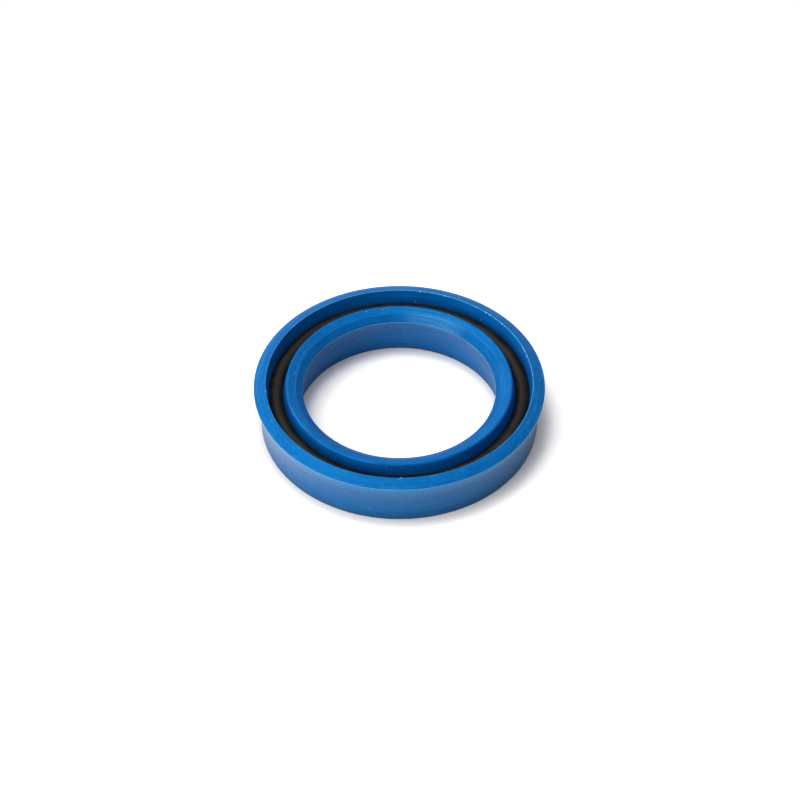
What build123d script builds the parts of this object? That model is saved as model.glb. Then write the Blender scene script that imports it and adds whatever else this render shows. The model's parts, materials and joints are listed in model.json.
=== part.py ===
from build123d import *
import math
import os

# Loaded-lip rod seal: a polyurethane ring of U section, with a rubber O-ring pressed into the groove
# between its lips so that they spread against the rod and the housing. Millimetres. The origin is the
# centre of the heel's flat face, and +Z runs along the rod's axis, towards the lips.

# Heel, the solid foot of the ring
rod_diameter = 31.75
rod_clearance = 0.40  # radial, from the rod to the heel's bore
inner_wall = 2.00  # from the heel's bore to the O-ring's seat
outer_wall = 1.17  # from the O-ring's seat to the heel's outside
heel_height = 3.84  # from the heel's face to the floor of the O-ring's seat

# O-ring, and its seat at the bottom of the groove
o_ring_section = 2.62
seat_clearance = 0.03
keeper_lean = 25.0  # degrees off the axis: the seat's walls lean in above the O-ring's widest line
keeper_reach = 0.24  # how far each wall leans in to keep the O-ring down

# Lips. Both walls leave the heel upright and taper away from the groove up to a sealing edge.
overall_height = 8.41
flare_start = 3.30

outer_flare = 1.02  # how far the outer lip stands out past the heel
outer_flank_lean = 11.8  # degrees off the axis, groove side
outer_bevel_drop = 0.79  # from the tip down to the sealing edge

inner_flare = 0.97  # how far the inner lip reaches in past the heel's bore
inner_flank_lean = 14.8
inner_lip_drop = 0.35  # how much lower than the outer tip it ends
inner_top_drop = 0.56  # fall of the top face, from the groove to its crease
inner_bevel_drop = 0.80  # fall of the sealing bevel, from the crease to the sealing edge
inner_bevel_width = 1.12
inner_tip_chamfer = 0.20

os.makedirs("parts", exist_ok=True)

# Radii worked out from the rod outwards, and heights from the heel up
bore_radius = rod_diameter / 2 + rod_clearance
seat_half_width = o_ring_section / 2 + seat_clearance
seat_radius = bore_radius + inner_wall + seat_half_width
heel_radius = seat_radius + seat_half_width + outer_wall
seat_height = heel_height + seat_half_width
inner_tip_height = overall_height - inner_lip_drop
inner_crease_height = inner_tip_height - inner_top_drop

# The seat's leaning walls lie along the O-ring, from where they leave its upright walls to its mouth
keeper = math.radians(keeper_lean)
keeper_foot_height = seat_height + seat_half_width * math.tan(keeper / 2)
mouth_height = keeper_foot_height + keeper_reach / math.tan(keeper)
mouth_half_width = seat_half_width - keeper_reach

# Groove flanks, which open from the seat's mouth up to the tips
outer_spread = (overall_height - mouth_height) * math.tan(math.radians(outer_flank_lean))
inner_spread = (inner_tip_height - mouth_height) * math.tan(math.radians(inner_flank_lean))
outer_tip = (seat_radius + mouth_half_width + outer_spread, overall_height)
inner_tip = (seat_radius - mouth_half_width - inner_spread, inner_tip_height)

# Sealing edges, where the lips touch the rod and the housing, and the inner lip's crease
outer_edge = (heel_radius + outer_flare, overall_height - outer_bevel_drop)
inner_edge = (bore_radius - inner_flare, inner_crease_height - inner_bevel_drop)
inner_crease = (inner_edge[0] + inner_bevel_width, inner_crease_height)

# U-cup ring: one turned section
with BuildPart() as u_cup:
    with BuildSketch(Plane.XZ) as section:
        with BuildLine():
            Polyline(
                (bore_radius, 0),
                (heel_radius, 0),
                (heel_radius, flare_start),
                outer_edge,
                outer_tip,
                (seat_radius + mouth_half_width, mouth_height),
                (seat_radius + seat_half_width, keeper_foot_height),
                (seat_radius + seat_half_width, heel_height),
                (seat_radius - seat_half_width, heel_height),
                (seat_radius - seat_half_width, keeper_foot_height),
                (seat_radius - mouth_half_width, mouth_height),
                inner_tip,
                inner_crease,
                inner_edge,
                (bore_radius, flare_start),
                close=True,
            )
        make_face()
        chamfer(section.vertices().sort_by_distance(inner_tip)[0], length=inner_tip_chamfer)
    revolve(axis=Axis.Z)
u_cup.part.label = "u_cup"
export_step(u_cup.part, "parts/u_cup.step")

# O-ring, seated in the bottom of the groove
with BuildPart() as o_ring:
    with BuildSketch(Plane.XZ):
        with Locations((seat_radius, seat_height)):
            Circle(o_ring_section / 2)
    revolve(axis=Axis.Z)
o_ring.part.label = "o_ring"
export_step(o_ring.part, "parts/o_ring.step")
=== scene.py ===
"""Looks of a loaded-lip rod seal: a blue polyurethane ring with a black O-ring in its groove.

Lengths are metres, apart from those whose names end in _mm. The ring stands on its heel with its lips up,
its axis is Z, and the origin is the centre of the heel's face.
"""

import json
import logging
import math
from dataclasses import dataclass
from enum import Enum
from typing import Any, Union

import bmesh
import bpy
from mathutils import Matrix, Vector


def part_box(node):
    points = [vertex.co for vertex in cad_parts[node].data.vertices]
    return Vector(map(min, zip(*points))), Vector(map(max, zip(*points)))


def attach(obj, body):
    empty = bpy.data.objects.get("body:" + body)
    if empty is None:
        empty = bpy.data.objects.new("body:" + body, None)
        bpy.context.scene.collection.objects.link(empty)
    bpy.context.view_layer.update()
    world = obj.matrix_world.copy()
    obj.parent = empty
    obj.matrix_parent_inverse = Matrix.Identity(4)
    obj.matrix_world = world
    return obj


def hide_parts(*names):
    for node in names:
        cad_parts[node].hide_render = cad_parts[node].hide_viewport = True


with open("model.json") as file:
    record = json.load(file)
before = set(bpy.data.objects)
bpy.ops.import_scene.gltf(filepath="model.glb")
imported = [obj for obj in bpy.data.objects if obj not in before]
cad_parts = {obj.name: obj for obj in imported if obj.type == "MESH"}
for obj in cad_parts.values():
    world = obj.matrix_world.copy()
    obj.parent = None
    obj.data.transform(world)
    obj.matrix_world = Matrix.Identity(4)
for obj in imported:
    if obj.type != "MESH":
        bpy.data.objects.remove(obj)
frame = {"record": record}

MM = 0.001
FULL_TURN = 2 * math.pi
Triple = tuple[float, float, float]
RGB = Triple
Span = tuple[float, float]  # where a step starts and where it ends, for Number.between
WHITE: RGB = (1.0, 1.0, 1.0)
log = logging.getLogger("rod_seal")


@dataclass(frozen=True)
class Surface:
    """What the finish reads on a face, each from 0 to 1."""

    turned: float = 0.0  # how strongly it shows the lines of a turning tool
    skin: float = 0.0  # how much of the glossy, duller skin of the mould it has
    edge: float = 0.0  # how much trimming has roughened it, which also paints a highlight along the edge

    def blend(self, other: "Surface", share: float, edge: float) -> "Surface":
        """The surface between this one and another.

        Args:
            other: the surface that it changes to.
            share: how far the change has gone, from 0 to 1.
            edge: the roughening there.

        Returns:
            The blended surface.
        """
        turned = self.turned + (other.turned - self.turned) * share
        skin = self.skin + (other.skin - self.skin) * share
        return Surface(turned, skin, edge)


class Face(Enum):
    """How each face of the ring was made."""

    # A face's turned and skin values also decide how much painted shade it takes from the groove's mask: the
    # less of both, the more.
    WALL = Surface(skin=1.0)
    BORE = Surface(turned=0.10, skin=0.75)
    GROOVE = Surface(turned=0.12)
    TRIMMED = Surface(turned=0.35)  # the outer lip's groove side
    SEALING = Surface(turned=0.45)  # the inner lip's bevel
    TURNED = Surface(turned=1.0)  # the lips' tops


class Number:
    """A number that varies over a surface. Python's operators on it add Math nodes."""

    def __init__(self, sheet: "NodeSheet", socket: bpy.types.NodeSocket) -> None:
        """Wraps an output socket of a tree."""
        self.sheet = sheet
        self.socket = socket

    def maths(self, operation: str, *values: Any, clamp: bool = False) -> "Number":
        """Adds one Math node.

        Args:
            operation: the Math node's operation.
            values: its inputs in order, numbers or Number objects.
            clamp: whether the result is kept between 0 and 1.

        Returns:
            The node's result.
        """
        settings = {"operation": operation, "use_clamp": clamp}
        return self.sheet.number("ShaderNodeMath", settings, dict(enumerate(values)))

    def __add__(self, other: Any) -> "Number":
        """self + other."""
        return self.maths("ADD", self, other)

    def __radd__(self, other: Any) -> "Number":
        """other + self."""
        return self.maths("ADD", other, self)

    def __sub__(self, other: Any) -> "Number":
        """self - other."""
        return self.maths("SUBTRACT", self, other)

    def __rsub__(self, other: Any) -> "Number":
        """other - self."""
        return self.maths("SUBTRACT", other, self)

    def __mul__(self, other: Any) -> "Number":
        """self * other."""
        return self.maths("MULTIPLY", self, other)

    def __truediv__(self, other: Any) -> "Number":
        """self / other."""
        return self.maths("DIVIDE", self, other)

    def __pow__(self, other: Any) -> "Number":
        """self to the power of other."""
        return self.maths("POWER", self, other)

    def __gt__(self, other: Any) -> "Number":
        """1 where self is more than other, and 0 elsewhere."""
        return self.maths("GREATER_THAN", self, other)

    def held(self) -> "Number":
        """The same number, kept between 0 and 1."""
        return self.maths("ADD", self, 0.0, clamp=True)

    def cosine(self) -> "Number":
        """Its cosine, in radians."""
        return self.maths("COSINE", self)

    def sine(self) -> "Number":
        """Its sine, in radians."""
        return self.maths("SINE", self)

    def between(self, low: float, high: float) -> "Number":
        """A smooth step that is 0 below low and 1 above high. It falls instead where low is the greater.

        Args:
            low: where the step starts.
            high: where the step ends.

        Returns:
            The step, from 0 to 1.
        """
        rising = low < high
        limits = {
            "Value": self,
            "From Min": min(low, high),
            "From Max": max(low, high),
            "To Min": 0.0 if rising else 1.0,
            "To Max": 1.0 if rising else 0.0,
        }
        return self.sheet.number("ShaderNodeMapRange", {"interpolation_type": "SMOOTHSTEP"}, limits)


Plug = Union[bpy.types.NodeSocket, Number, float, int, bool, tuple, bpy.types.Material]


class NodeSheet:
    """A shader or geometry tree that is being wired up."""

    def __init__(self, tree: bpy.types.NodeTree) -> None:
        """Starts on a tree, which it empties."""
        self.tree = tree
        tree.nodes.clear()

    def node(self, kind: str, settings: dict[str, Any] | None = None, plugs: dict | None = None) -> Any:
        """Adds a node of any type.

        Args:
            kind: the node's type.
            settings: its properties, which are set first, since they decide which sockets it shows.
            plugs: a value or a link for each input, by the input's identifier, name or index. A colour
                is given without its alpha.

        Returns:
            The node.
        """
        made = self.tree.nodes.new(kind)
        for name, value in (settings or {}).items():
            setattr(made, name, value)
        for key, plug in (plugs or {}).items():
            target = made.inputs[key] if isinstance(key, int) else self.find(made.inputs, key)
            source = plug.socket if isinstance(plug, Number) else plug
            if isinstance(source, bpy.types.NodeSocket):
                self.tree.links.new(source, target)
            else:
                target.default_value = (*source, 1.0) if target.type == "RGBA" else source
        return made

    @staticmethod
    def find(sockets: Any, key: str) -> bpy.types.NodeSocket:
        """The socket with this identifier, or else the one in use with this name."""
        for socket in sockets:
            if socket.identifier == key:
                return socket
        return next(s for s in sockets if s.name == key and s.enabled)

    def number(self, kind: str, settings: dict | None = None, plugs: dict | None = None,
               output: str | int = 0) -> Number:
        """Adds a node and wraps one of its outputs, the first if none is named.

        Args:
            kind: the node's type.
            settings: its properties.
            plugs: its inputs.
            output: the output's name, identifier or index.

        Returns:
            The output as a Number.
        """
        made = self.node(kind, settings, plugs)
        socket = made.outputs[output] if isinstance(output, int) else self.find(made.outputs, output)
        return Number(self, socket)

    def vector(self, operation: str, *plugs: Plug, scale: Plug | None = None) -> bpy.types.NodeSocket:
        """Adds a Vector Math node.

        Args:
            operation: its operation.
            plugs: its vectors, in order.
            scale: the factor, for the operation SCALE.

        Returns:
            The resulting vector's socket.
        """
        inputs = dict(enumerate(plugs))
        if scale is not None:
            inputs["Scale"] = scale
        return self.node("ShaderNodeVectorMath", {"operation": operation}, inputs).outputs["Vector"]

    def blend(self, amount: Plug, under: Plug, over: RGB) -> bpy.types.NodeSocket:
        """Lays a colour over another.

        Args:
            amount: how much of the upper one shows, from 0 to 1.
            under: the lower colour.
            over: the upper colour.

        Returns:
            The resulting colour's socket.
        """
        settings = {"data_type": "RGBA", "blend_type": "MIX", "clamp_factor": True}
        plugs = {"Factor_Float": amount, "A_Color": under, "B_Color": over}
        return self.find(self.node("ShaderNodeMix", settings, plugs).outputs, "Result_Color")

    def noise(self, place: Plug, scale: float, detail: float, around: Plug | None = None) -> Number:
        """Adds a noise texture.

        Args:
            place: the vector that it is read at.
            scale: how many grains there are to a unit of that vector.
            detail: how many finer layers are added.
            around: a fourth coordinate, if there is one.

        Returns:
            The noise, from 0 to 1 about a mean of 0.5.
        """
        settings = {"noise_dimensions": "3D" if around is None else "4D"}
        plugs = {"Vector": place, "Scale": scale, "Detail": detail}
        if around is not None:
            plugs["W"] = around
        return self.number("ShaderNodeTexNoise", settings, plugs, "Fac")


class GeometrySheet(NodeSheet):
    """A geometry tree with named inputs, which is wired up and then run."""

    def __init__(self, name: str, start: str, inputs: dict[str, str], result: str) -> None:
        """Makes the tree.

        Args:
            name: its name.
            start: the name of its geometry input.
            inputs: the type of each of its other inputs, by name. One of them is Finish, the material.
            result: the name of its output.
        """
        super().__init__(bpy.data.node_groups.new(name, "GeometryNodeTree"))
        new = self.tree.interface.new_socket
        new(name=start, in_out="INPUT", socket_type="NodeSocketGeometry")
        self.identifiers = {
            key: new(name=key, in_out="INPUT", socket_type="NodeSocket" + kind).identifier
            for key, kind in inputs.items()
        }
        new(name=result, in_out="OUTPUT", socket_type="NodeSocketGeometry")
        self.result = result
        self.given = self.node("NodeGroupInput").outputs

    def end(self, geometry: Plug) -> None:
        """Ends the tree with this geometry, made real and given its material."""
        real = self.node("GeometryNodeRealizeInstances", None, {"Geometry": geometry})
        dressed = {"Geometry": real.outputs[0], "Material": self.given["Finish"]}
        done = self.node("GeometryNodeSetMaterial", None, dressed)
        self.node("NodeGroupOutput", None, {self.result: done.outputs[0]})

    def bake(self, name: str, start: bpy.types.Mesh, settings: dict[str, Any]) -> bpy.types.Object:
        """Runs the tree on a mesh and keeps the result as a plain mesh.

        Args:
            name: the piece's name.
            start: the mesh that the tree starts from.
            settings: the value of each named input.

        Returns:
            A new object at the origin with the tree's result, and no modifier.
        """
        holder = bpy.data.objects.new(name + "_tree", start)
        bpy.context.scene.collection.objects.link(holder)
        modifier = holder.modifiers.new("tree", "NODES")
        modifier.node_group = self.tree
        for key, value in settings.items():
            modifier[self.identifiers[key]] = value
        graph = bpy.context.evaluated_depsgraph_get()
        mesh = bpy.data.meshes.new_from_object(holder.evaluated_get(graph))
        mesh.name = name
        bpy.data.objects.remove(holder)
        bpy.data.meshes.remove(start)
        piece = bpy.data.objects.new(name, mesh)
        bpy.context.scene.collection.objects.link(piece)
        return piece


@dataclass(frozen=True)
class RingPlace:
    """Where a point of a turned surface is, as sockets of one shader."""

    sheet: NodeSheet
    point_mm: bpy.types.NodeSocket
    radius_mm: Number
    height_mm: Number
    turn: Number

    @classmethod
    def of(cls, sheet: NodeSheet) -> "RingPlace":
        """Reads Object coordinates.

        Args:
            sheet: the shader that it is for.

        Returns:
            The point in millimetres, its distance from the axis, its height and its angle round the axis.
        """
        coordinates = sheet.node("ShaderNodeTexCoord").outputs["Object"]
        point = sheet.vector("SCALE", coordinates, scale=1 / MM)
        parts = sheet.node("ShaderNodeSeparateXYZ", None, {0: point})
        x, y, z = (Number(sheet, parts.outputs[name]) for name in "XYZ")
        return cls(sheet, point, (x * x + y * y) ** 0.5, z, x.maths("ARCTAN2", y, x))

    def drawn_round(self, across: float, along: float, seed: float) -> Number:
        """Noise that is drawn out round the axis, like the lines of a turning tool.

        Args:
            across: how many lines there are to a millimetre of the section.
            along: how fast the lines change round the ring, in grains to a radian.
            seed: moves the pattern.

        Returns:
            The noise, from 0 to 1.
        """
        plugs = {0: self.radius_mm * across + seed, 1: self.height_mm * across, 2: self.turn.cosine() * along}
        place = self.sheet.node("ShaderNodeCombineXYZ", None, plugs).outputs[0]
        return self.sheet.noise(place, 1.0, 3.0, around=self.turn.sine() * along)


class Finish:
    """A material of the object that is being built. It reads Object coordinates."""

    def __init__(self, name: str, colour: RGB) -> None:
        """Starts the material.

        Args:
            name: its name.
            colour: the plain colour that it has where nodes aren't shown.
        """
        self.made = bpy.data.materials.new(name)
        self.made.use_nodes = True
        self.made.diffuse_color = colour + (1.0,)
        self.sheet = NodeSheet(self.made.node_tree)
        self.place = RingPlace.of(self.sheet)

    def dress(self, colour: Plug, roughness: Number, relief: dict[str, Plug], plugs: dict[str, Plug]) -> None:
        """Gives the material its surface.

        Args:
            colour: its base colour.
            roughness: its roughness, which is kept between 0 and 1 here.
            relief: the Bump node's inputs.
            plugs: the shader's other inputs.
        """
        bump = self.sheet.node("ShaderNodeBump", None, relief)
        varied = {"Base Color": colour, "Roughness": roughness.held(), "Normal": bump.outputs[0]}
        shader = self.sheet.node("ShaderNodeBsdfPrincipled", None, varied | plugs)
        self.sheet.node("ShaderNodeOutputMaterial", None, {"Surface": shader.outputs[0]})


@dataclass(frozen=True)
class Polyurethane:
    """Cast blue polyurethane with a satin skin, finer where the lips were turned."""

    colour: RGB = (0.0006, 0.136, 0.465)
    deep_tone_and_shade: RGB = (0.0003, 0.082, 0.315)  # painted shade that deepens down the groove and onto the faces beside it, and the ring's own darker tone in cloudy patches
    pale: RGB = (0.045, 0.420, 0.880)  # the lines that the turning tool left, and the painted sheen on the upper walls
    wear_and_glint: RGB = (0.170, 0.500, 0.880)  # at trimmed edges, where the surface is roughened, with a painted highlight along them; also the painted glint on the inner bevel
    skin: RGB = (0.005, 0.128, 0.385)  # the duller skin of the walls
    foot_shade: RGB = (0.004, 0.050, 0.170)  # painted shade towards the heel, in cloudy patches
    speck: RGB = (0.30, 0.62, 0.88)  # dust and nicks
    sheen_tint: RGB = (0.08, 0.74, 1.0)  # the reflection seen from straight above is bluish too
    ior: float = 1.40
    coat_ior: float = 1.32
    coat_roughness: float = 0.15
    turned_roughness: float = 0.42
    skin_roughness: float = 0.26
    grain_mm: float = 0.005  # height of the finest grain
    line_mm: float = 0.012  # height of the lines round the lips
    speck_share: float = 0.05  # of the pattern's cells hold a speck
    turned_speck_share: float = 0.08  # and so many more do on a turned face

    groove_shade_mm: Span = (8.2, 6.2)  # heights down which the painted shade in the groove grows
    upper_sheen_mm: Span = (5.4, 7.4)  # heights up which the walls take a painted pale sheen
    foot_shade_mm: Span = (2.8, 0.2)  # heights down which the walls take painted shade
    glint_bearing: float = math.radians(68)  # where a painted glint lies on the inner lip's bevel
    glint_cosine: Span = (0.93, 1.0)  # of the angle off that bearing
    glint_radius_mm: Span = (17.4, 16.0)
    glint_height_mm: Span = (6.5, 6.9)

    def material(self) -> bpy.types.Material:
        """Builds the material, which reads Object coordinates and the attributes turned, skin and edge."""
        finish = Finish("polyurethane", self.colour)
        sheet, place = finish.sheet, finish.place
        turned, skin, edge = (
            sheet.number("ShaderNodeAttribute", {"attribute_name": key}, None, "Fac")
            for key in ("turned", "skin", "edge")
        )

        cloud = sheet.noise(place.point_mm, 0.28, 3.0)
        mottle = sheet.noise(place.point_mm, 1.7, 3.0)
        grain = sheet.noise(place.point_mm, 7.0, 3.0)
        lines = place.drawn_round(4.5, 2.5, 0.0)
        fine_lines = place.drawn_round(11.0, 5.0, 31.0)
        dashes = place.drawn_round(6.5, 17.0, 140.0)
        scuffs = place.drawn_round(1.6, 9.0, 77.0)
        specks = self.specks(place, turned)

        depth = (cloud * 0.55 + mottle * 0.45).between(0.62, 0.36)
        # painted shade: faces that are neither turned nor skin are darkened, more so down the groove
        groove = (1 - turned) * (1 - skin) * (0.38 + place.height_mm.between(*self.groove_shade_mm) * 0.8)
        light_line = lines.between(0.53, 0.72) * (0.10 + turned * 0.32 + skin * 0.26)
        light_line = light_line + dashes.between(0.55, 0.72) * (turned * 0.45 + skin * 0.13)
        # painted glint: a pale streak of reflected light on the inner lip's bevel
        glint = (place.turn - self.glint_bearing).cosine().between(*self.glint_cosine)
        glint = glint * place.radius_mm.between(*self.glint_radius_mm)
        glint = glint * place.height_mm.between(*self.glint_height_mm)
        layers = [
            (depth * 0.35 + groove, self.deep_tone_and_shade),
            (skin * (0.75 + mottle * 0.5), self.skin),
            # painted sheen, paler towards the top of the walls
            (skin * place.height_mm.between(*self.upper_sheen_mm) * 0.22, self.pale),
            # painted shade, darker towards the heel
            (skin * place.height_mm.between(*self.foot_shade_mm) * (0.15 + cloud * 0.45), self.foot_shade),
            (light_line * 0.6, self.pale),
            # trim wear along the edges, partly a painted highlight line
            ((edge * (0.45 + mottle * 0.9)).between(0.25, 0.85) * 0.75, self.wear_and_glint),
            (glint * (0.10 + lines.between(0.38, 0.62) * 0.22), self.wear_and_glint),
            (specks, self.speck),
        ]
        colour: Plug = self.colour
        for amount, over in layers:
            colour = sheet.blend(amount, colour, over)

        base = self.turned_roughness + skin * (self.skin_roughness - self.turned_roughness)
        roughness = base + (mottle - 0.5) * 0.16 + (scuffs - 0.5) * 0.18 + specks * turned * 0.25

        height = grain * self.grain_mm + mottle * (0.5 * self.grain_mm)
        height = height + (lines * 0.7 + fine_lines * 0.3) * turned * self.line_mm
        height = height + scuffs * (0.4 * self.line_mm) * (1 - turned)
        height = height + specks * turned * (3 * self.grain_mm)
        plugs = {
            "IOR": self.ior,
            "Specular Tint": self.sheen_tint,
            "Coat Weight": (skin * (0.35 + scuffs * 0.6)).held(),
            "Coat Roughness": self.coat_roughness,
            "Coat IOR": self.coat_ior,
        }
        finish.dress(colour, roughness, {"Strength": 1.0, "Distance": MM, "Height": height}, plugs)
        return finish.made

    def specks(self, place: RingPlace, turned: Number) -> Number:
        """Small pale specks of dust and trimming, with only some cells of the pattern holding one.

        Args:
            place: the point's place on the ring.
            turned: how much of a turned face this is, since the specks gather there.

        Returns:
            1 in a speck and 0 elsewhere.
        """
        sheet = place.sheet
        plugs = {"Vector": place.point_mm, "Scale": 1.5, "Randomness": 1.0}
        cells = sheet.node("ShaderNodeTexVoronoi", {"feature": "F1"}, plugs)
        distance = Number(sheet, cells.outputs["Distance"])
        parts = sheet.node("ShaderNodeSeparateColor", None, {0: cells.outputs["Color"]})
        chosen = Number(sheet, parts.outputs[0]) > 1 - self.speck_share - turned * self.turned_speck_share
        size = 0.07 + Number(sheet, parts.outputs[1]) * 0.10
        spot = (distance / size).between(1.0, 0.55)
        return spot * chosen * (0.45 + Number(sheet, parts.outputs[2]) * 0.5)


@dataclass(frozen=True)
class NitrileRubber:
    """Black nitrile rubber with a faint warm bloom."""

    colour: RGB = (0.0050, 0.0044, 0.0038)
    bloom: RGB = (0.022, 0.018, 0.012)
    sheen_tint: RGB = (1.0, 0.90, 0.72)
    ior: float = 1.42
    roughness: float = 0.50
    grain_mm: float = 0.006

    def material(self) -> bpy.types.Material:
        """Builds the material, which reads Object coordinates."""
        finish = Finish("nitrile_rubber", self.colour)
        sheet, place = finish.sheet, finish.place
        cloud = sheet.noise(place.point_mm, 0.55, 4.0)
        grain = sheet.noise(place.point_mm, 11.0, 3.0)
        smears = place.drawn_round(2.2, 6.0, 12.0)
        bloom = (cloud * 0.6 + smears * 0.4).between(0.40, 0.66)
        colour = sheet.blend(bloom * 0.7, self.colour, self.bloom)
        roughness = self.roughness + (cloud - 0.5) * 0.2 + (smears - 0.5) * 0.2
        height = grain * self.grain_mm + smears * (0.8 * self.grain_mm)
        relief = {"Strength": 1.0, "Distance": MM, "Height": height}
        finish.dress(colour, roughness, relief, {"IOR": self.ior, "Specular Tint": self.sheen_tint})
        return finish.made


@dataclass(frozen=True)
class TrimCurl:
    """The whitish polyurethane of the burrs that trimming leaves on an edge."""

    colour: RGB = (0.62, 0.78, 0.88)
    shadow: RGB = (0.16, 0.42, 0.68)
    ior: float = 1.5
    roughness: float = 0.5
    grain_mm: float = 0.005

    def material(self) -> bpy.types.Material:
        """Builds the material, which reads Object coordinates."""
        finish = Finish("trim_curl", self.colour)
        sheet, place = finish.sheet, finish.place
        tone = sheet.noise(place.point_mm, 3.0, 2.0)
        grain = sheet.noise(place.point_mm, 20.0, 2.0)
        colour = sheet.blend(tone.between(0.35, 0.65), self.shadow, self.colour)
        roughness = self.roughness + (grain - 0.5) * 0.3
        relief = {"Strength": 0.6, "Distance": self.grain_mm * MM, "Height": grain}
        finish.dress(colour, roughness, relief, {"IOR": self.ior})
        return finish.made


@dataclass(frozen=True)
class Corner:
    """A corner of a section before it is rounded, in millimetres from the axis and above the heel."""

    radius_mm: float
    height_mm: float
    rounding_mm: float
    face: Face  # the face that runs from here to the next corner
    wear_and_glint: float = 0.0  # how much the rounded edge was touched by trimming, and so how much painted highlight it takes, from 0 to 1


@dataclass(frozen=True)
class SectionPoint:
    """A point of a rounded section, with what the finish reads there."""

    radius_mm: float
    height_mm: float
    surface: Surface


@dataclass
class Section:
    """The closed section of a turned ring."""

    corners: list[Corner]
    arc_step: float = math.radians(11)
    run_step_mm: float = 0.62
    shoulder_mm: float = 0.03  # from the end of an arc to the next point, which keeps flat faces flat

    def points(self) -> list[SectionPoint]:
        """Rounds the corners.

        Returns:
            The points in order, an arc at each corner and evenly spaced points between.
        """
        arcs = [self.arc(i) for i in range(len(self.corners))]
        found: list[SectionPoint] = []
        for i, arc in enumerate(arcs):
            face = self.corners[i].face.value
            found += arc
            found += self.run(arc[-1], arcs[(i + 1) % len(arcs)][0], face)
        return found

    def arc(self, i: int) -> list[SectionPoint]:
        """The arc that rounds corner i.

        Args:
            i: the corner's index.

        Returns:
            Points from the arc's start to its end.
        """
        corner = self.corners[i]
        before, after = self.corners[i - 1], self.corners[(i + 1) % len(self.corners)]
        tip = Vector((corner.radius_mm, corner.height_mm))
        back = (Vector((before.radius_mm, before.height_mm)) - tip).normalized()
        ahead = (Vector((after.radius_mm, after.height_mm)) - tip).normalized()
        half = back.angle(ahead) / 2
        turn = math.pi - 2 * half
        centre = tip + (back + ahead).normalized() * corner.rounding_mm / math.sin(half)
        start = tip + back * corner.rounding_mm / math.tan(half) - centre
        side = 1 if back.x * ahead.y - back.y * ahead.x < 0 else -1
        count = max(3, math.ceil(turn / self.arc_step))
        points = []
        for k in range(count + 1):
            share = k / count
            angle = side * turn * share
            x = start.x * math.cos(angle) - start.y * math.sin(angle)
            y = start.x * math.sin(angle) + start.y * math.cos(angle)
            wear_and_glint = corner.wear_and_glint * math.sin(math.pi * share)
            surface = before.face.value.blend(corner.face.value, share, wear_and_glint)
            points.append(SectionPoint(centre.x + x, centre.y + y, surface))
        return points

    def run(self, start: SectionPoint, end: SectionPoint, surface: Surface) -> list[SectionPoint]:
        """Points on the straight face between two arcs, without its ends.

        Args:
            start: the end of the arc before.
            end: the start of the arc after.
            surface: the face's surface.

        Returns:
            A shoulder point near each end, and even steps between.
        """
        a = Vector((start.radius_mm, start.height_mm))
        b = Vector((end.radius_mm, end.height_mm))
        length = (b - a).length
        shoulder = min(self.shoulder_mm, length / 4)
        steps = max(1, round((length - 2 * shoulder) / self.run_step_mm))
        stations = [shoulder + (length - 2 * shoulder) * k / steps for k in range(steps + 1)]
        return [SectionPoint(*a.lerp(b, s / length), surface) for s in stations]


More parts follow.
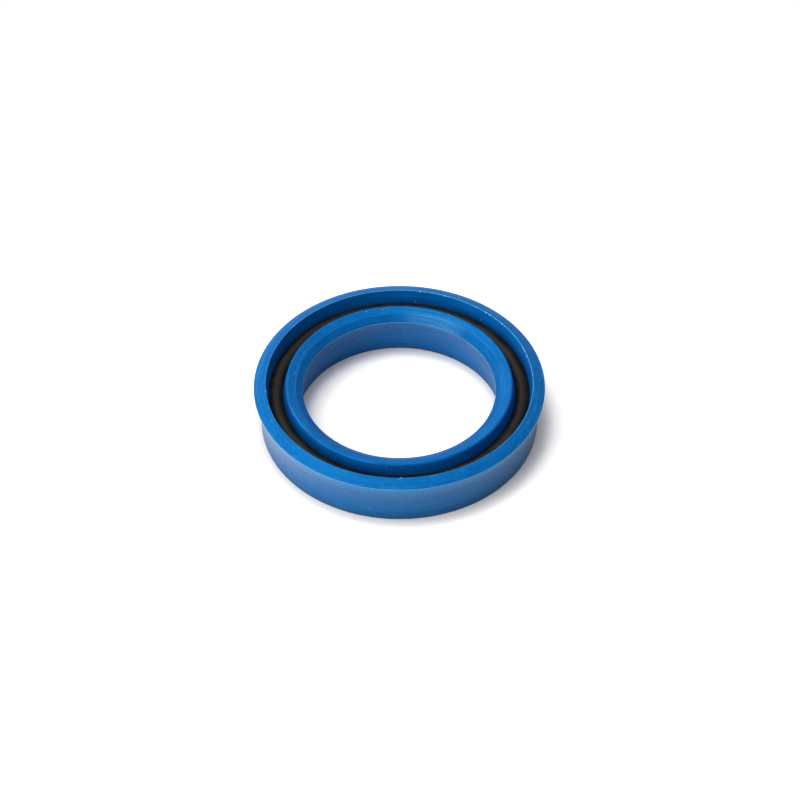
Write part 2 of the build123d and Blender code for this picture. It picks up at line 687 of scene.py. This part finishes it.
@dataclass
class RingTurner:
    """Sweeps a section round the axis with Geometry Nodes."""

    wander_scale: float = 1.6  # how finely the lips wander in and out, in grains on a circle of radius 1
    rise_scale: float = 2.3  # and how finely they rise and fall
    wander_drift: float = 120.0  # the noise's change per metre of radius, so that the lips differ
    rise_drift: float = 90.0

    def __post_init__(self) -> None:
        """Builds the tree once, for every ring."""
        inputs = {
            "Path Radius": "Float",
            "Segments": "Int",
            "Ripple": "Float",
            "Ripple Foot": "Float",
            "Ripple Top": "Float",
            "Seed": "Float",
            "Finish": "Material",
        }
        self.sheet = sheet = GeometrySheet("turned_ring", "Section", inputs, "Ring")
        given = sheet.given
        section = sheet.node("GeometryNodeMeshToCurve", None, {"Mesh": given["Section"]})
        circle = {"Resolution": given["Segments"], "Radius": given["Path Radius"]}
        path = sheet.node("GeometryNodeCurvePrimitiveCircle", None, circle)
        sweep = {"Curve": path.outputs["Curve"], "Profile Curve": section.outputs["Curve"]}
        swept = sheet.node("GeometryNodeCurveToMesh", None, sweep).outputs["Mesh"]
        smooth = sheet.node("GeometryNodeSetShadeSmooth", None, {"Geometry": self.ripple(swept)})
        sheet.end(smooth.outputs[0])

    def ripple(self, mesh: bpy.types.NodeSocket) -> bpy.types.NodeSocket:
        """Gives the free lips the slight wander of a soft ring, growing from the ripple's foot to its top.

        Args:
            mesh: the swept ring.

        Returns:
            The ring with its points moved.
        """
        sheet, given = self.sheet, self.sheet.given
        position = sheet.node("GeometryNodeInputPosition").outputs[0]
        parts = sheet.node("ShaderNodeSeparateXYZ", None, {0: position})
        x, y, z = (Number(sheet, parts.outputs[name]) for name in "XYZ")
        radius = (x * x + y * y) ** 0.5
        foot, top, seed = (Number(sheet, given[name]) for name in ("Ripple Foot", "Ripple Top", "Seed"))
        lift = ((z - foot) / (top - foot)).held()
        direction = {0: x / radius, 1: y / radius, 2: seed}
        round_the_ring = sheet.node("ShaderNodeCombineXYZ", None, direction).outputs[0]
        wander = sheet.noise(round_the_ring, self.wander_scale, 1.0, around=radius * self.wander_drift)
        rise = sheet.noise(round_the_ring, self.rise_scale, 1.0, around=seed + radius * self.rise_drift)
        reach = Number(sheet, given["Ripple"]) * lift * 2
        outward = sheet.vector("NORMALIZE", sheet.vector("MULTIPLY", position, (1.0, 1.0, 0.0)))
        sideways = sheet.vector("SCALE", outward, scale=(wander - 0.5) * reach)
        upward = sheet.node("ShaderNodeCombineXYZ", None, {2: (rise - 0.5) * reach * 0.5}).outputs[0]
        plugs = {"Geometry": mesh, "Offset": sheet.vector("ADD", sideways, upward)}
        return sheet.node("GeometryNodeSetPosition", None, plugs).outputs[0]

    def turn(self, name: str, section: list[SectionPoint], settings: dict[str, Any]) -> bpy.types.Object:
        """Makes one ring as a plain mesh.

        Args:
            name: the piece's name.
            section: the section's points, clockwise with the axis on the left.
            settings: the tree's inputs by name, without the path's radius.

        Returns:
            The piece at the origin, with its faces turned outwards.
        """
        path_radius = sum(p.radius_mm for p in section) / len(section) * MM
        outline = bpy.data.meshes.new(name + "_section")
        # The sweep lays the section's first axis outwards and its second one downwards
        points = [(p.radius_mm * MM - path_radius, -p.height_mm * MM, 0.0) for p in section]
        outline.from_pydata(points, [(i, (i + 1) % len(points)) for i in range(len(points))], [])
        for attribute in ("turned", "skin", "edge"):
            layer = outline.attributes.new(attribute, "FLOAT", "POINT")
            layer.data.foreach_set("value", [getattr(p.surface, attribute) for p in section])
        piece = self.sheet.bake(name, outline, settings | {"Path Radius": path_radius})
        work = bmesh.new()
        work.from_mesh(piece.data)
        bmesh.ops.recalc_face_normals(work, faces=work.faces)
        work.to_mesh(piece.data)
        work.free()
        return piece


@dataclass
class UCup:
    """The blue ring: a heel, and two lips with a groove between them. Lengths are millimetres."""

    bore_radius_mm: float
    heel_radius_mm: float
    flare_start_mm: float
    outer_radius_mm: float
    height_mm: float
    seat_radius_mm: float
    seat_half_width_mm: float
    seat_height_mm: float
    inner_radius_mm: float

    outer_flare_mm: float = 1.02
    inner_flare_mm: float = 0.97
    seat_clearance_mm: float = 0.03
    heel_floor_mm: float = 3.84
    keeper_lean: float = math.radians(25)
    keeper_reach_mm: float = 0.24
    outer_flank_lean: float = math.radians(11.8)
    inner_flank_lean: float = math.radians(14.8)
    outer_bevel_drop_mm: float = 0.79
    inner_lip_drop_mm: float = 0.35
    inner_top_drop_mm: float = 0.56
    inner_bevel_drop_mm: float = 0.80
    inner_bevel_width_mm: float = 1.12

    heel_rounding_mm: float = 0.10
    flare_rounding_mm: float = 9.0
    sealing_rounding_mm: float = 0.11
    tip_rounding_mm: float = 0.09
    crown_rise_mm: float = 0.16
    crown_rounding_mm: float = 5.0
    inner_tip_rounding_mm: float = 0.36
    crease_rounding_mm: float = 0.15
    mouth_rounding_mm: float = 0.12
    keeper_rounding_mm: float = 0.50
    seat_rounding_mm: float = 1.0
    ripple_mm: float = 0.030  # how far the lips wander
    ripple_seed: float = 4.0
    segments: int = 512

    @classmethod
    def from_frame(cls) -> "UCup":
        """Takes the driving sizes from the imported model.

        Returns:
            The ring, with its heel from the two mounts and its outside from the node's box.
        """
        mounts = {m["name"]: m["dims"] for m in frame["record"]["mounts"]}
        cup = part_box("u_cup")[1] / MM
        low, high = (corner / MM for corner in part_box("o_ring"))
        section = high.z - low.z
        return cls(
            bore_radius_mm=mounts["rod_bore"]["r_mm"],
            heel_radius_mm=mounts["housing_wall"]["r_mm"],
            flare_start_mm=mounts["housing_wall"]["length_mm"],
            outer_radius_mm=mounts["housing_wall"]["r_mm"] + cls.outer_flare_mm,
            height_mm=cup.z,
            seat_radius_mm=high.x - section / 2,
            seat_half_width_mm=section / 2 + cls.seat_clearance_mm,
            seat_height_mm=(low.z + high.z) / 2,
            inner_radius_mm=mounts["rod_bore"]["r_mm"] - cls.inner_flare_mm,
        )

    @property
    def mouth_height_mm(self) -> float:
        """Height of the seat's mouth, where the groove's flanks start."""
        return self.keeper_foot_mm + self.keeper_reach_mm / math.tan(self.keeper_lean)

    @property
    def keeper_foot_mm(self) -> float:
        """Height at which the seat's walls start to lean in over the O-ring."""
        return self.seat_height_mm + self.seat_half_width_mm * math.tan(self.keeper_lean / 2)

    @property
    def mouth_half_width_mm(self) -> float:
        """Half the width of the seat's mouth."""
        return self.seat_half_width_mm - self.keeper_reach_mm

    @property
    def outer_tip_mm(self) -> tuple[float, float]:
        """Radius and height of the outer lip's tip."""
        spread = (self.height_mm - self.mouth_height_mm) * math.tan(self.outer_flank_lean)
        return self.seat_radius_mm + self.mouth_half_width_mm + spread, self.height_mm

    @property
    def inner_tip_mm(self) -> tuple[float, float]:
        """Radius and height of the inner lip's tip, before it is rounded."""
        height = self.height_mm - self.inner_lip_drop_mm
        spread = (height - self.mouth_height_mm) * math.tan(self.inner_flank_lean)
        return self.seat_radius_mm - self.mouth_half_width_mm - spread, height

    @property
    def outer_seal_height_mm(self) -> float:
        """Height of the outer lip's sealing edge."""
        return self.height_mm - self.outer_bevel_drop_mm

    @property
    def crown_mm(self) -> tuple[float, float]:
        """Radius and height of the corner whose wide rounding crowns the outer lip's bevel."""
        tip, seal = Vector(self.outer_tip_mm), Vector((self.outer_radius_mm, self.outer_seal_height_mm))
        outwards = Vector((tip.y - seal.y, seal.x - tip.x)).normalized()
        return tuple((tip + seal) / 2 + outwards * self.crown_rise_mm)

    def section(self) -> list[SectionPoint]:
        """The ring's rounded section.

        Returns:
            Its points, clockwise with the axis on the left.
        """
        wall, bore, groove, trimmed, turned = Face.WALL, Face.BORE, Face.GROOVE, Face.TRIMMED, Face.TURNED
        crease_height = self.inner_tip_mm[1] - self.inner_top_drop_mm
        seal_height = crease_height - self.inner_bevel_drop_mm
        crease_radius = self.inner_radius_mm + self.inner_bevel_width_mm
        seat_in = self.seat_radius_mm - self.seat_half_width_mm
        seat_out = self.seat_radius_mm + self.seat_half_width_mm
        mouth_in = self.seat_radius_mm - self.mouth_half_width_mm
        mouth_out = self.seat_radius_mm + self.mouth_half_width_mm
        corners = [
            Corner(self.bore_radius_mm, 0, self.heel_rounding_mm, bore, 0.3),
            Corner(self.bore_radius_mm, self.flare_start_mm, self.flare_rounding_mm, bore),
            Corner(self.inner_radius_mm, seal_height, self.sealing_rounding_mm, Face.SEALING, 1.0),
            Corner(crease_radius, crease_height, self.crease_rounding_mm, turned, 0.3),
            Corner(*self.inner_tip_mm, self.inner_tip_rounding_mm, groove),
            Corner(mouth_in, self.mouth_height_mm, self.mouth_rounding_mm, groove),
            Corner(seat_in, self.keeper_foot_mm, self.keeper_rounding_mm, groove),
            Corner(seat_in, self.heel_floor_mm, self.seat_rounding_mm, groove),
            Corner(seat_out, self.heel_floor_mm, self.seat_rounding_mm, groove),
            Corner(seat_out, self.keeper_foot_mm, self.keeper_rounding_mm, groove),
            Corner(mouth_out, self.mouth_height_mm, self.mouth_rounding_mm, trimmed),
            Corner(*self.outer_tip_mm, self.tip_rounding_mm, turned, 1.0),
            Corner(*self.crown_mm, self.crown_rounding_mm, turned),
            Corner(self.outer_radius_mm, self.outer_seal_height_mm, self.sealing_rounding_mm, wall, 1.0),
            Corner(self.heel_radius_mm, self.flare_start_mm, self.flare_rounding_mm, wall),
            Corner(self.heel_radius_mm, 0, self.heel_rounding_mm, wall, 0.5),
        ]
        return Section(corners).points()

    def build(self, turner: RingTurner, finish: Polyurethane) -> bpy.types.Object:
        """Makes the ring and sets it in place of its node.

        Args:
            turner: the tool that sweeps the section.
            finish: the ring's finish.

        Returns:
            The piece.
        """
        settings = {
            "Segments": self.segments,
            "Ripple": self.ripple_mm * MM,
            "Ripple Foot": self.mouth_height_mm * MM,
            "Ripple Top": self.height_mm * MM,
            "Seed": self.ripple_seed,
            "Finish": finish.material(),
        }
        piece = turner.turn("u_cup_ring", self.section(), settings)
        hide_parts("u_cup")
        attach(piece, "root")
        return piece


@dataclass
class ORing:
    """The black ring that lies in the groove. Lengths are millimetres."""

    radius_mm: float
    section_mm: float
    height_mm: float
    section_points: int = 44
    segments: int = 384
    ripple_mm: float = 0.012
    ripple_seed: float = 9.0

    @classmethod
    def from_frame(cls) -> "ORing":
        """Takes every size from the node's box."""
        low, high = (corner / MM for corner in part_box("o_ring"))
        section = high.z - low.z
        return cls(high.x - section / 2, section, (low.z + high.z) / 2)

    def section(self) -> list[SectionPoint]:
        """The round section's points, clockwise with the axis on the left."""
        points = []
        for k in range(self.section_points):
            angle = -FULL_TURN * k / self.section_points
            radius = self.radius_mm + self.section_mm / 2 * math.cos(angle)
            height = self.height_mm + self.section_mm / 2 * math.sin(angle)
            points.append(SectionPoint(radius, height, Surface()))
        return points

    def build(self, turner: RingTurner, finish: NitrileRubber) -> bpy.types.Object:
        """Makes the O-ring and sets it in place of its node.

        Args:
            turner: the tool that sweeps the section.
            finish: the O-ring's finish.

        Returns:
            The piece.
        """
        settings = {
            "Segments": self.segments,
            "Ripple": self.ripple_mm * MM,
            "Ripple Foot": (self.height_mm - self.section_mm) * MM,
            "Ripple Top": self.height_mm * MM,
            "Seed": self.ripple_seed,
            "Finish": finish.material(),
        }
        piece = turner.turn("o_ring_rubber", self.section(), settings)
        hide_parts("o_ring")
        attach(piece, "root")
        return piece


@dataclass
class TrimBurrs:
    """Small burrs that trimming left along the groove side of the outer lip's tip. Lengths are millimetres."""

    radius_mm: float
    height_mm: float
    inset_mm: float = 0.01  # from the tip's corner towards the axis
    drop_mm: float = 0.05  # and down from it
    places: int = 900
    heavy_bearing: float = math.radians(48)  # the side with most of them, from +X towards +Y
    heavy_cosine: Span = (0.45, 0.95)  # of the angle off that bearing
    heavy_chance: float = 0.34
    light_chance: float = 0.030
    clump_scale: float = 420.0  # grains to a metre
    clump: Span = (0.44, 0.60)  # of that noise
    length_mm: float = 0.16
    smallest: Triple = (0.50, 0.32, 0.28)  # a burr's size along the tip, across it and up, in lengths
    largest: Triple = (1.40, 0.58, 0.66)
    tilt: Triple = (0.4, 0.5, 0.25)  # how far it may lean each way, in radians
    seed: int = 11

    @classmethod
    def along(cls, cup: UCup) -> "TrimBurrs":
        """Takes their line from the outer lip's tip."""
        return cls(cup.outer_tip_mm[0] - cls.inset_mm, cup.height_mm - cls.drop_mm)

    def scatter(self) -> GeometrySheet:
        """Builds the tree that scatters the burrs."""
        inputs = {
            "Heavy Bearing": "Float",
            "Heavy Chance": "Float",
            "Light Chance": "Float",
            "Length": "Float",
            "Seed": "Int",
            "Finish": "Material",
        }
        sheet = GeometrySheet("trim_burrs", "Edge", inputs, "Burrs")
        given = sheet.given
        position = sheet.node("GeometryNodeInputPosition").outputs[0]
        parts = sheet.node("ShaderNodeSeparateXYZ", None, {0: position})
        x, y = (Number(sheet, parts.outputs[name]) for name in "XY")
        bearing = x.maths("ARCTAN2", y, x)
        near = (bearing - Number(sheet, given["Heavy Bearing"])).cosine().between(*self.heavy_cosine)
        clumps = sheet.noise(position, self.clump_scale, 1.0).between(*self.clump)
        light = Number(sheet, given["Light Chance"])
        chance = (light + (Number(sheet, given["Heavy Chance"]) - light) * near) * clumps
        pick = {"Probability": chance, "Seed": given["Seed"]}
        chosen = sheet.node("FunctionNodeRandomValue", {"data_type": "BOOLEAN"}, pick)
        flake = sheet.node("GeometryNodeMeshIcoSphere", None, {"Radius": given["Length"], "Subdivisions": 1})
        spread = {"Min": self.smallest, "Max": self.largest, "Seed": given["Seed"]}
        size = sheet.node("FunctionNodeRandomValue", {"data_type": "FLOAT_VECTOR"}, spread)
        sway = {"Min": tuple(-angle for angle in self.tilt), "Max": self.tilt, "Seed": given["Seed"]}
        tilt = sheet.node("FunctionNodeRandomValue", {"data_type": "FLOAT_VECTOR"}, sway)
        along = sheet.node("ShaderNodeCombineXYZ", None, {2: bearing + math.pi / 2}).outputs[0]
        plugs = {
            "Points": given["Edge"],
            "Selection": sheet.find(chosen.outputs, "Value_003"),  # its Boolean output
            "Instance": flake.outputs["Mesh"],
            "Rotation": sheet.vector("ADD", along, tilt.outputs[0]),
            "Scale": size.outputs[0],
        }
        placed = sheet.node("GeometryNodeInstanceOnPoints", None, plugs)
        sheet.end(placed.outputs[0])
        return sheet

    def build(self, finish: TrimCurl) -> bpy.types.Object:
        """Makes the burrs, which ride with the blue ring.

        Args:
            finish: the burrs' finish.

        Returns:
            The piece.
        """
        edge = bpy.data.meshes.new("burr_edge")
        angles = [FULL_TURN * k / self.places for k in range(self.places)]
        radius, height = self.radius_mm * MM, self.height_mm * MM
        edge.from_pydata([(radius * math.cos(a), radius * math.sin(a), height) for a in angles], [], [])
        settings = {
            "Heavy Bearing": self.heavy_bearing,
            "Heavy Chance": self.heavy_chance,
            "Light Chance": self.light_chance,
            "Length": self.length_mm * MM,
            "Seed": self.seed,
            "Finish": finish.material(),
        }
        piece = self.scatter().bake("trim_burrs", edge, settings)
        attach(piece, "root")
        return piece


@dataclass(frozen=True)
class SoftBox:
    """A lamp with a soft face, aimed at the middle of the ring."""

    name: str
    bearing: float  # degrees, from +X towards +Y
    elevation: float
    distance: float
    width: float
    height: float
    share: float  # of the light on a level white surface, which all lamps and the world share

    def place(self, target: Vector) -> None:
        """Adds the lamp, aimed at the target."""
        bearing, elevation = math.radians(self.bearing), math.radians(self.elevation)
        level = math.cos(elevation)
        towards = Vector((level * math.cos(bearing), level * math.sin(bearing), math.sin(elevation)))
        lamp = bpy.data.lights.new(self.name, "AREA")
        lamp.shape = "RECTANGLE"
        lamp.size, lamp.size_y = self.width, self.height
        lamp.energy = self.share * math.pi**2 * self.distance**2 / math.sin(elevation)
        holder = bpy.data.objects.new(self.name, lamp)
        holder.location = target + towards * self.distance
        holder.rotation_mode = "QUATERNION"
        holder.rotation_quaternion = (-towards).to_track_quat("-Z", "Y")
        bpy.context.scene.collection.objects.link(holder)


@dataclass
class Studio:
    """The pale floor, the lamps and the camera."""

    floor_radius: float = 4.0
    floor_colour: RGB = (0.90, 0.90, 0.90)
    floor_seen: RGB = (1.74, 1.66, 1.57)  # as the camera sees it, so that it is white up to the shadow
    contact_shade: float = 0.38  # painted contact shadow: how much darker the paper is drawn right at the ring's foot
    shade_outside_mm: Span = (25.2, 22.1)  # radii over which it darkens in to the heel
    shade_inside_mm: Span = (13.6, 16.3)  # and out to it, in the bore
    shade_split_mm: Span = (19.0, 19.3)  # radii where the two meet, under the heel
    white_mm: Span = (60.0, 120.0)  # radii over which the floor turns to a glow of pure white
    world_light: float = 0.55
    world_lean: float = 0.50  # how much brighter the world is towards its bright side than on the whole
    world_bearing: float = math.radians(165)
    horizon_light: float = 0.28  # at the horizon
    horizon_top: float = 0.36  # sine of the elevation from which up the world has its full light
    camera_lens: float = 135.0
    camera_sensor: float = 36.0
    camera_distance: float = 0.48175
    camera_elevation: float = 45.20
    aim_height: float = 0.00415
    aim_right: float = 0.000107

    def build(self) -> None:
        """Builds everything that isn't the object."""
        target = Vector((0.0, 0.0, self.aim_height))
        self.floor()
        self.world()
        for lamp in self.lamps():
            lamp.place(target)
        self.camera()

    @staticmethod
    def lamps() -> list[SoftBox]:
        """The lamps: a high one on the left, and two weak low ones on the left that light the walls."""
        return [
            SoftBox("left_high", 156, 74, 0.8, 0.48, 0.42, 0.33),
            SoftBox("left_front_low", 220, 24, 0.8, 0.46, 0.36, 0.14),
            SoftBox("left_low", 190, 17, 0.8, 0.50, 0.24, 0.07),
        ]

    def floor(self) -> None:
        """Lays the pale floor, a flat disc under the ring."""
        mesh = bpy.data.meshes.new("floor")
        work = bmesh.new()
        bmesh.ops.create_circle(work, cap_ends=True, radius=self.floor_radius, segments=96)
        work.to_mesh(mesh)
        work.free()
        floor = bpy.data.objects.new("floor", mesh)
        bpy.context.scene.collection.objects.link(floor)
        mesh.materials.append(self.floor_material())

    def floor_material(self) -> bpy.types.Material:
        """The floor's paper: pale and matt, with a painted contact shadow right at the ring's foot, and glowing
        white far out.

        Returns:
            The material.
        """
        made = bpy.data.materials.new("floor_paper")
        made.use_nodes = True
        sheet = NodeSheet(made.node_tree)
        place = RingPlace.of(sheet)
        seen = sheet.number("ShaderNodeLightPath", None, None, "Is Camera Ray")
        fibres = sheet.noise(place.point_mm, 1.1, 3.0)
        radius, split = place.radius_mm, self.shade_split_mm
        # painted contact shadow round the ring's foot, outside it and in the bore
        outside = radius.between(*self.shade_outside_mm) * radius.between(*split)
        inside = radius.between(*self.shade_inside_mm) * radius.between(*reversed(split))
        tone = (1 + (fibres - 0.5) * 0.02) * (1 - (outside + inside) * self.contact_shade)
        levels = {
            i: (plain + seen * (shown - plain)) * tone
            for i, (plain, shown) in enumerate(zip(self.floor_colour, self.floor_seen))
        }
        paper = sheet.node("ShaderNodeCombineColor", None, levels).outputs[0]
        matt = sheet.node("ShaderNodeBsdfDiffuse", None, {"Color": paper})
        glow = sheet.node("ShaderNodeEmission", None, {"Color": WHITE, "Strength": 1.0})
        plugs = {0: radius.between(*self.white_mm), 1: matt.outputs[0], 2: glow.outputs[0]}
        mixed = sheet.node("ShaderNodeMixShader", None, plugs)
        sheet.node("ShaderNodeOutputMaterial", None, {"Surface": mixed.outputs[0]})
        return made

    def world(self) -> None:
        """Sets the surroundings: white to the camera, and a soft light that leans to one side on the object."""
        world = bpy.data.worlds.new("studio")
        bpy.context.scene.world = world
        world.use_nodes = True
        sheet = NodeSheet(world.node_tree)
        seen = sheet.number("ShaderNodeLightPath", None, None, "Is Camera Ray")
        direction = sheet.node("ShaderNodeTexCoord").outputs["Generated"]
        height = sheet.number("ShaderNodeSeparateXYZ", None, {0: direction}, "Z")
        band = height.between(self.horizon_top, 0.0)
        bright_side = (math.cos(self.world_bearing), math.sin(self.world_bearing), 0.0)
        sides = {0: direction, 1: bright_side}
        facing = sheet.number("ShaderNodeVectorMath", {"operation": "DOT_PRODUCT"}, sides, "Value")
        light = self.world_light + band * (self.horizon_light - self.world_light)
        light = light * (1 + facing * self.world_lean)
        strength = light + seen * (1 - light)
        sky = sheet.node("ShaderNodeBackground", None, {"Color": WHITE, "Strength": strength})
        sheet.node("ShaderNodeOutputWorld", None, {"Surface": sky.outputs[0]})

    def camera(self) -> None:
        """Sets the camera, looking down at the ring from in front."""
        elevation = math.radians(self.camera_elevation)
        data = bpy.data.cameras.new("camera")
        data.lens, data.sensor_width = self.camera_lens, self.camera_sensor
        data.clip_start, data.clip_end = 0.01, 20.0
        camera = bpy.data.objects.new("camera", data)
        behind = Vector((0.0, -math.cos(elevation), math.sin(elevation)))
        camera.location = behind * self.camera_distance
        look = Vector((self.aim_right, 0.0, self.aim_height)) - camera.location
        camera.rotation_mode = "QUATERNION"
        camera.rotation_quaternion = look.to_track_quat("-Z", "Y")
        bpy.context.scene.collection.objects.link(camera)
        bpy.context.scene.camera = camera


def main() -> None:
    """Builds the pieces, dresses them and sets the studio."""
    logging.basicConfig(level=logging.INFO, format="%(name)s: %(message)s")
    bpy.context.scene.view_settings.view_transform = "Standard"
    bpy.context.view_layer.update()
    turner = RingTurner()
    cup = UCup.from_frame()
    pieces = [
        cup.build(turner, Polyurethane()),
        ORing.from_frame().build(turner, NitrileRubber()),
        TrimBurrs.along(cup).build(TrimCurl()),
    ]
    for piece in pieces:
        log.info("%s: %d faces", piece.name, len(piece.data.polygons))
    Studio().build()
    bpy.context.view_layer.update()


if __name__ == "__main__":
    main()
